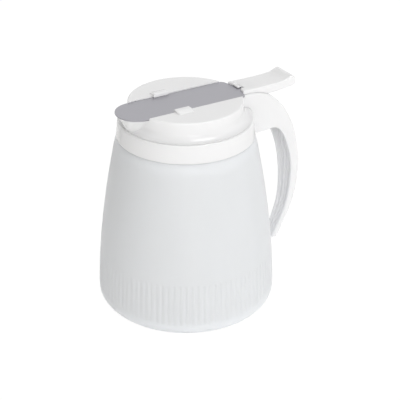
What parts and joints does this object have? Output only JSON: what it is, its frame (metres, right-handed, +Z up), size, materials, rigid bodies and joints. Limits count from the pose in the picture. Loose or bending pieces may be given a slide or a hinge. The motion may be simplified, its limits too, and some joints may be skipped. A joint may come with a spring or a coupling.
{
  "type": "syrup dispenser",
  "caption": "Translucent ribbed jar with a screw collar, a spouted lid, a sprung thumb lever that slides a steel drip-cut gate, and an open C-shaped handle.",
  "frame": {"origin": "floor level, under the middle of the overall footprint box; the jar's own axis stands 14.4 mm towards -X", "axes": "+X towards the handle, -X towards the spout, +Z up, Y across the gate"},
  "size_m": [0.1628, 0.134, 0.162],
  "materials": {
    "jar_plastic": "translucent satin",
    "white_plastic": "moulded gloss",
    "steel": "fine brushed",
    "seal_rubber": "matte"
  },
  "bodies": {
    "jar": {"jar": "jar_plastic"},
    "lid": {"lid_body": "white_plastic", "jar_gasket": "seal_rubber", "handle_shell": "white_plastic", "handle_screw_1": "steel", "handle_screw_2": "steel", "return_spring": "steel"},
    "collar": {"screw_collar": "white_plastic"},
    "gate": {"cutoff_slide": "steel", "thumb_lever": "white_plastic", "spring_follower": "white_plastic", "follower_screw": "steel"}
  },
  "joints": [
    {"name": "lid_lift", "type": "slide", "parent": "jar", "child": "lid", "axis": [0, 0, 1], "range_m": [0, 0.06]},
    {"name": "collar_turn", "type": "hinge", "parent": "lid", "child": "collar", "pos_m": [-0.0144, 0, 0.138], "axis": [0, 0, 1], "continuous": true},
    {"name": "gate_slide", "type": "slide", "parent": "lid", "child": "gate", "axis": [1, 0, 0], "range_m": [0, 0.011], "stiffness_N_per_m": 250, "springref_m": -0.006, "deforming": ["return_spring"]}
  ]
}
